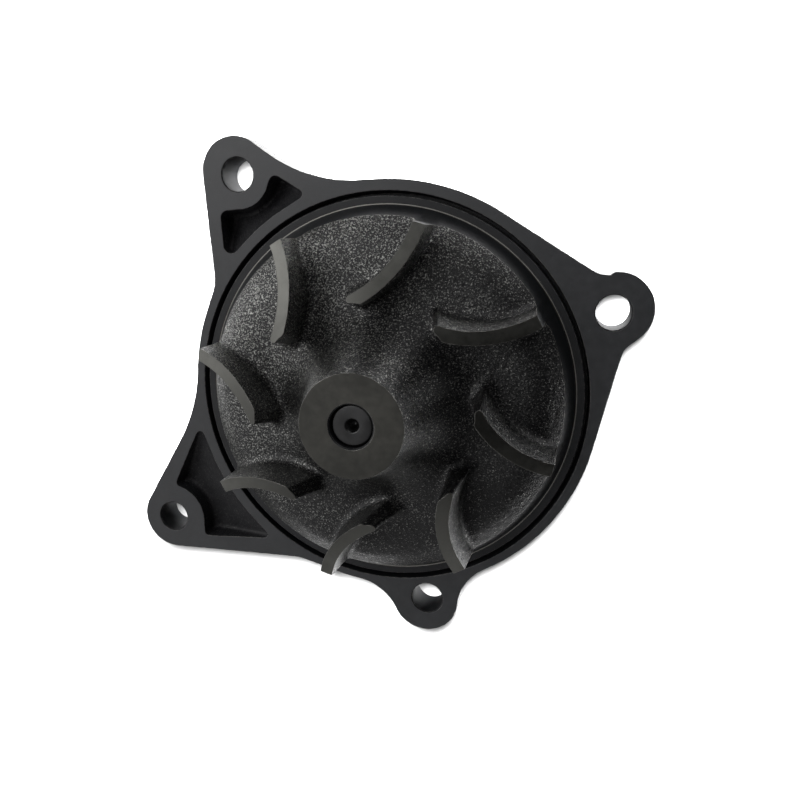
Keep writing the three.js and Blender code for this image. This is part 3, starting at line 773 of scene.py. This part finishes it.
def impeller():
    voxel, easing, skin, grain, seed = 0.4, 2, 0.11, 1.35, 23
    plate = [
        (4.5, 3.6), (22, 5), (46, 4.5), (53, 1), (56.4, -6.5), (64, -6.5), (64, 1), (61.5, 1.4),
        *curve_through(PLATE_TOP, 0.8), (4.5, 42.0),
    ]
    vanes = [moved(vane(), turn=-2 * math.pi * i / VANES) for i in range(VANES)]
    obj = make_object("impeller_casting", merged(turned(plate, 256), *vanes), CAST_ROUGH)
    fuse(obj, voxel, easing)
    roughen(obj, skin, grain, seed)
    edge, above, clear_r = 0.3, 60, HUB_R + 6
    lathe_cuts = [
        (15.6, PLATE_BOTTOM), (PLATE_R - edge, PLATE_BOTTOM), (PLATE_R, PLATE_BOTTOM + edge),
        (PLATE_R, LAND_Z - edge), (PLATE_R - edge, LAND_Z), (LAND_R, LAND_Z), (LAND_R - 0.12, LAND_Z + 0.1),
        (VANE_TIP_R, WALL_TOP + 0.9), (VANE_TIP_R, above), (clear_r, above), (clear_r, HUB_TOP),
        (HUB_BORE_R + 0.4, HUB_TOP), (HUB_BORE_R, HUB_TOP - 0.4), (HUB_BORE_R, 10.2), (15.6, 10.2),
    ]
    machine(obj, turned(lathe_cuts, 360), TURNED_DARK, "INTERSECT")
    burr = [
        (LAND_R - 0.22, LAND_Z + 0.35), (LAND_R - 0.05, LAND_Z - 0.12), (LAND_R + 0.22, LAND_Z - 0.12),
        (LAND_R + 0.22, LAND_Z + 0.35),
    ]
    machine(obj, turned(burr, 360), BARE_EDGE)

    def vane_top(r):
        return VANE_TIP_TOP + VANE_TOP_SLOPE * (VANE_TIP_R - r)

    inner, outer = 17.5, 70
    cone = [(inner, vane_top(inner)), (outer, vane_top(outer)), (outer, 70), (inner, 70)]
    machine(obj, turned(cone, 360), VANE_TOPS)
    facing_z = HUB_TOP - 0.02
    facing = [(0, facing_z), (17.4, facing_z), (17.4, above), (0, above)]
    machine(obj, turned(facing, 180), TURNED_HUB)
    mark_worn_edges(obj)
    return dress(obj, ["impeller"], "rotor")


# ---- Shaft, drive hub, bearings and seal --------------------------------------------------

def lathe_piece(node, profile, material, body, ease=0.35, segments=96):
    """A turned piece with eased edges that stands for one CAD node."""
    outline = profile if profile[0][0] == 0 else eased(profile, ease)
    return dress(make_object(node + "_turned", turned(outline, segments), material), [node], body, 55)


def pump_shaft():
    lathe_piece("pump_shaft", [
        (0, -100), (6.6, -100), (7.6, -99.7), (8, -99), (8, -77.6), (8.2, -77.2), (8.5, -77), (8.5, -33.2),
        (8.3, -32.7), (8, -32.5), (8, 8.8), (7.8, 9.2), (6, 9.4), (6, 38.1), (5.85, 38.5), (5.4, 38.8),
        (2.3, 38.8), (1.9, 38.4), (1.1, 36.6), (0.95, 35.5), (0, 35.0),
    ], SHAFT_STEEL, "rotor")


def drive_hub():
    profile = eased([
        (8.3, -100), (12.5, -100), (13, -99.3), (14.5, -99.3), (15, -100), (37, -100), (37, -91),
        (20, -91), (16, -87), (16, -80), (8.3, -80),
    ], 0.7)
    obj = make_object("drive_hub_turned", turned(profile, 160), HUB_STEEL)
    thread = [(0, -105), (4.6, -105), (4.6, -100), (4.0, -99.3)]
    for k in range(9):
        thread += [(4.15, -98.9 + k), (3.75, -98.4 + k)]
    thread += [(4.0, -90.9), (4.5, -90.4), (4.5, -88), (0, -88)]
    for i in range(THREADS):
        angle = math.pi / 4 + 2 * math.pi * i / THREADS
        x, y = THREAD_CIRCLE_R * math.cos(angle), THREAD_CIRCLE_R * math.sin(angle)
        machine(obj, moved(turned(thread, 40), x, y), HUB_STEEL)
    dress(obj, ["drive_hub"], "rotor")


def groove_arc(centre_r, z, r, side):
    angles = np.linspace(-TRACK_REACH, TRACK_REACH, 11)
    return [(centre_r + side * r * math.cos(a), z + r * math.sin(a)) for a in angles]


def bearing(name, top, width, outer, ball, balls, shield_up):
    """A ball bearing. The notch and shield are at its upper side, or else at its lower side."""
    bottom, middle = top - width, top - width / 2
    pitch = (outer + RACE_R) / 2
    track = ball + 0.25
    shoulder = track * math.cos(TRACK_REACH)
    lip, depth = outer - 2, 1.2
    cage_body = name.replace("bearing", "cage")
    inner = [
        (BEARING_BORE_R, bottom), (pitch - shoulder, bottom), *groove_arc(pitch, middle, track, -1),
        (pitch - shoulder, top), (BEARING_BORE_R, top),
    ]
    lathe_piece(name + "_inner_race", inner, BEARING_STEEL, "rotor", 0.3)
    notch_top = [(lip, top), (lip, top - depth), (pitch + shoulder, top - depth)]
    notch_low = [(pitch + shoulder, bottom + depth), (lip, bottom + depth), (lip, bottom)]
    above = notch_top if shield_up else [(pitch + shoulder, top)]
    below = [(pitch + shoulder, bottom)] if shield_up else notch_low
    race = [(outer, bottom), (outer, top), *above, *groove_arc(pitch, middle, track, 1)[::-1], *below]
    lathe_piece(name + "_outer_race", race, BEARING_STEEL, "housing", 0.3)
    low, high = middle - ball - 1, middle + ball + 1
    ring = eased([(pitch - 1, low), (pitch + 1, low), (pitch + 1, high), (pitch - 1, high)], 0.25)
    cage = make_object(name + "_cage_moulded", turned(ring, 144), NYLON)
    for i in range(balls):
        angle = 2 * math.pi * i / balls
        x, y = pitch * math.cos(angle), pitch * math.sin(angle)
        machine(cage, moved(sphere(ball + 0.3, 48), x, y, middle), NYLON)
        node = f"{name}_ball_{i + 1}"
        shell = moved(sphere(ball - 0.02, 40), x, y, middle)
        dress(make_object(node + "_polished", shell, BEARING_STEEL), [node], cage_body)
    dress(cage, [name + "_cage"], cage_body)
    gap = 0.3
    low = top - depth + gap if shield_up else bottom + gap
    high = low + depth - 2 * gap
    near, far = pitch - shoulder + gap, lip - gap
    shield = [(near, low), (far, low), (far, high), (near, high)]
    lathe_piece(name + "_shield", shield, SHEET_STEEL, "housing", 0.2)


def sphere(r, segments):
    angles = np.linspace(-np.pi / 2, np.pi / 2, segments // 2 + 1)
    return turned([(0 if abs(a) > 1.57 else r * math.cos(a), r * math.sin(a)) for a in angles], segments)


def circlip():
    """A stamped ring with an opening and two lugs, each with an eye for the pliers."""
    opening, lug = 0.16, 0.2  # half the opening and the width of a lug, in radians
    inner, outer, lug_r, eye_r = 21.4, 25.0, 18.4, 20.3
    low, high = -73.4, -71.9

    def arc(r, start, end):
        steps = max(4, int(abs(end - start) * 30))
        return [(r * math.cos(a), r * math.sin(a)) for a in np.linspace(start, end, steps)]

    full = 2 * math.pi
    loop = np.array([
        *arc(outer, opening, full - opening), *arc(lug_r, full - opening, full - opening - lug),
        *arc(inner, full - opening - lug, opening + lug), *arc(lug_r, opening + lug, opening),
    ])
    obj = make_object("circlip_pressed", stack([at_height(loop, low), at_height(loop, high)]), SPRING_STEEL)
    for side in (-1, 1):
        angle = side * (opening + lug / 2)
        eye = turned([(0, -80), (1, -80), (1, -70), (0, -70)], 24)
        machine(obj, moved(eye, eye_r * math.cos(angle), eye_r * math.sin(angle)), SPRING_STEEL)
    dress(obj, ["circlip"], "housing")


def compress(obj):
    """Gives a spring or bellows its own copy of its mesh."""
    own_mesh(obj)


def seal():
    """The face seal's pieces, and the slinger and spacer that share its shaft."""
    floor, rim, sheet = -20.7, -6.1, 0.9
    lathe_piece("seal_case", [
        (10, floor), (18.1, floor), (18.1, rim), (20.7, rim), (20.7, rim + sheet), (17.2, rim + sheet),
        (17.2, floor + sheet), (10, floor + sheet),
    ], BRASS, "housing")
    bottom, top = -19.5, -2.0
    bellows = lathe_piece("seal_bellows", [
        (9.6, bottom), (12.9, bottom), (12.9, -17.5), (11.4, -16.5), (12.7, -9), (11.4, -4), (12.2, -3),
        (12.2, top), (9.6, top), (9.6, -4.4), (11, -9), (9.6, -15.5),
    ], RUBBER, "housing", 0.8)
    compress(bellows)
    lathe_piece("seal_spring_washer", [(12.5, -2.1), (16.6, -2.1), (16.6, -1.3), (12.5, -1.3)],
                SPRING_STEEL, "seal_head", 0.2)
    lathe_piece("seal_carbon_ring", [
        (9.2, -1.6), (12.2, -1.6), (12.2, -1), (14, -1), (14, 1.6), (12.4, 1.9), (12.4, 2.8), (9.2, 2.8),
    ], CARBON, "seal_head", 0.15)
    lathe_piece("seal_ceramic_ring", [(9, 3.1), (13.8, 3.1), (13.8, 8.4), (9, 8.4)],
                CERAMIC, "rotor")
    lathe_piece("seal_ceramic_cup", [
        (14.1, 4.3), (15.3, 4.3), (15.3, 9.9), (9.3, 9.9), (9.3, 8.7), (14.1, 8.7),
    ], RUBBER, "rotor")
    lathe_piece("water_slinger", [
        (8.3, -30), (10.5, -30), (13.5, -28.6), (13.5, -27.6), (10.5, -28.4), (8.3, -28.4),
    ], RUBBER, "rotor", 0.3)
    lathe_piece("bearing_spacer", [(8.8, -57), (11.4, -57), (11.4, -45.6), (8.8, -45.6)],
                SHEET_STEEL, "rotor")


def seal_spring():
    """Coil of drawn wire round the bellows, with its ends closed."""
    turns, wire, coil, low, high = 4, 0.7, 14.9, -18.4, -3.2
    steps, sides = turns * 48, 12
    rings = []
    for i in range(steps + 1):
        t = i / steps
        a = 2 * math.pi * turns * t
        centre = np.array([coil * math.cos(a), coil * math.sin(a), low + (high - low) * t])
        along = np.array([-math.sin(a), math.cos(a), (high - low) / (2 * math.pi * turns * coil)])
        along /= np.linalg.norm(along)
        out = np.array([math.cos(a), math.sin(a), 0.0])
        up = np.cross(along, out)
        rings.append([centre + wire * (math.cos(s) * out + math.sin(s) * up)
                      for s in np.linspace(0, 2 * math.pi, sides, endpoint=False)])
    shell = stack([np.array(ring) for ring in rings])
    coil_piece = make_object("seal_spring_coil", (shell[0], [f[::-1] for f in shell[1]]), SPRING_STEEL)
    dress(coil_piece, ["seal_spring"], "housing")
    compress(coil_piece)


# ---- Stage --------------------------------------------------------------------------------

def aim(obj, place, target):
    obj.location = place
    obj.rotation_mode = "QUATERNION"
    obj.rotation_quaternion = (Vector(target) - Vector(place)).to_track_quat("-Z", "Y")


def floor():
    half, drop = 1500, 0.05
    points = np.array([(-half, -half, 0), (half, -half, 0), (half, half, 0), (-half, half, 0)], float)
    g = Graph("pale_floor")
    speck = g.noise(0.4, 3.0)
    material = g.finish(g.mix(speck, (0.62, 0.62, 0.62), (0.66, 0.66, 0.66)), 0.8, 0.0)
    plane = make_object("floor", (points - [0, 0, FACE + drop], [(0, 1, 2, 3)]), material)
    return plane


LOBES = (
    # azimuth, elevation and half width in degrees, and brightness
    (145, 43, 27, 1.4),
    (155, 28, 45, 0.35),
    (-165, 22, 42, 0.36),
    (-95, 24, 40, 0.32),
    (64, 23, 22, 1.0),
    (-100, 62, 30, 0.07),
    (168, 67, 26, 0.10),
    (130, 69, 24, 0.60),
    (-146, 52, 22, 0.30),
)
OVERHEAD = 0.008


def world():
    """A light tent with broad soft glows in a dark sky. The camera itself sees it plain white."""
    tent = bpy.data.worlds.new("tent")
    bpy.context.scene.world = tent
    tent.use_nodes = True
    tree = tent.node_tree
    direction = tree.nodes.new("ShaderNodeTexCoord").outputs["Generated"]
    total = None
    for azimuth, elevation, width, glow in LOBES:
        a, e = math.radians(azimuth), math.radians(elevation)
        dot = tree.nodes.new("ShaderNodeVectorMath")
        dot.operation = "DOT_PRODUCT"
        tree.links.new(direction, dot.inputs[0])
        dot.inputs[1].default_value = (math.cos(a) * math.cos(e), math.sin(a) * math.cos(e), math.sin(e))
        lobe = tree.nodes.new("ShaderNodeMapRange")
        lobe.interpolation_type = "SMOOTHERSTEP"
        lobe.inputs["From Min"].default_value = math.cos(math.radians(width))
        lobe.inputs["To Max"].default_value = glow
        tree.links.new(dot.outputs["Value"], lobe.inputs["Value"])
        add = tree.nodes.new("ShaderNodeMath")
        tree.links.new(lobe.outputs[0], add.inputs[0])
        if total is None:
            add.inputs[1].default_value = OVERHEAD
        else:
            tree.links.new(total, add.inputs[1])
        total = add.outputs[0]
    seen = tree.nodes.new("ShaderNodeLightPath").outputs["Is Camera Ray"]
    brighter = tree.nodes.new("ShaderNodeMath")
    brighter.operation = "MAXIMUM"
    tree.links.new(seen, brighter.inputs[0])
    tree.links.new(total, brighter.inputs[1])
    tree.nodes["Background"].inputs["Color"].default_value = (1, 1, 1, 1)
    tree.links.new(brighter.outputs[0], tree.nodes["Background"].inputs["Strength"])


def floor_lamp(plane):
    """A lamp beside the camera that lights only the floor, so the pump's shadow falls behind it."""
    light = bpy.data.lights.new("table", "AREA")
    light.shape = "DISK"
    light.size = 0.024
    light.energy = 12.0
    obj = bpy.data.objects.new("table", light)
    bpy.context.scene.collection.objects.link(obj)
    aim(obj, Vector((56, 62, FACE + 227)) * MM, Vector((0, 0, 0)))
    group = bpy.data.collections.new("table_receivers")
    group.objects.link(plane)
    obj.light_linking.receiver_collection = group
    group.collection_objects[0].light_linking.link_state = "INCLUDE"


def camera():
    """The photograph's view: down on the gasket face, from the upper right of the shaft."""
    right = Vector((0.97289, -0.05166, -0.22541))
    up = Vector((0.0, 0.97474, -0.22339))
    place = Vector((59.84, 50.41, 226.95 + FACE)) * MM
    data = bpy.data.cameras.new("camera")
    data.sensor_width = 36
    data.lens = 33.30
    data.clip_start = 0.01
    data.clip_end = 10
    obj = bpy.data.objects.new("camera", data)
    bpy.context.scene.collection.objects.link(obj)
    turn = Matrix((right, up, right.cross(up))).transposed().to_4x4()
    obj.matrix_world = Matrix.Translation(place) @ turn
    bpy.context.scene.camera = obj


def stage():
    plane = floor()
    world()
    camera()
    floor_lamp(plane)
    bpy.context.scene.view_settings.view_transform = "Standard"


# ---- The pump -----------------------------------------------------------------------------

housing()
impeller()
pump_shaft()
drive_hub()
bearing("front_bearing", -33.3, 12.0, 20.0, 3.37, 8, True)
bearing("rear_bearing", -57.3, 14.0, 23.5, 4.76, 7, False)
circlip()
seal()
seal_spring()
stage()
